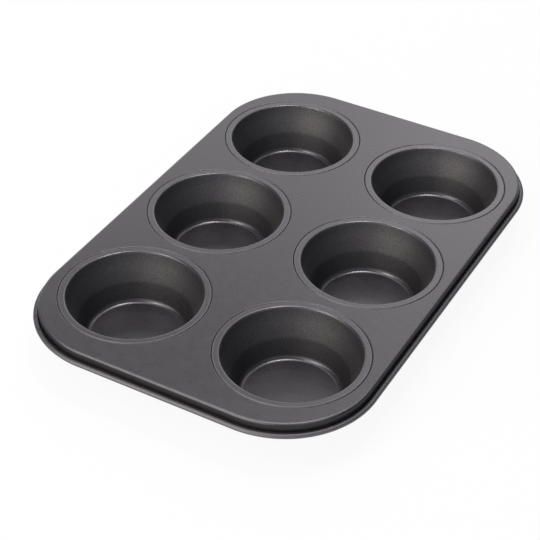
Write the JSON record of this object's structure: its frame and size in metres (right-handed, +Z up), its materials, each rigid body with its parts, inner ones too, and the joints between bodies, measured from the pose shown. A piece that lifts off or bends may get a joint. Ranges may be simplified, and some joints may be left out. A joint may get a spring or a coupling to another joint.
{
  "type": "muffin pan",
  "caption": "Rectangular muffin pan: round tapered cups seamed into a flat sheet with rounded corners and a rolled, wired rim, in a dark non-stick coating.",
  "frame": {"origin": "on the table under the centre of the pan, level with the flat bottoms of the cups", "axes": "+X along the short side to the right, +Y along the long side away from the front, +Z up"},
  "size_m": [0.1858, 0.2772, 0.0265],
  "materials": {
    "non_stick_coated_steel": "satin dark grey non-stick coating with a fine metallic grain",
    "galvanised_steel_wire": "bare zinc-coated steel, hidden in the rolled rim"
  },
  "bodies": {
    "root": {"cup_front_left": "non_stick_coated_steel", "cup_front_right": "non_stick_coated_steel", "cup_middle_left": "non_stick_coated_steel", "cup_middle_right": "non_stick_coated_steel", "cup_back_left": "non_stick_coated_steel", "cup_back_right": "non_stick_coated_steel", "tray_sheet": "non_stick_coated_steel", "rim_wire": "galvanised_steel_wire"}
  },
  "joints": []
}
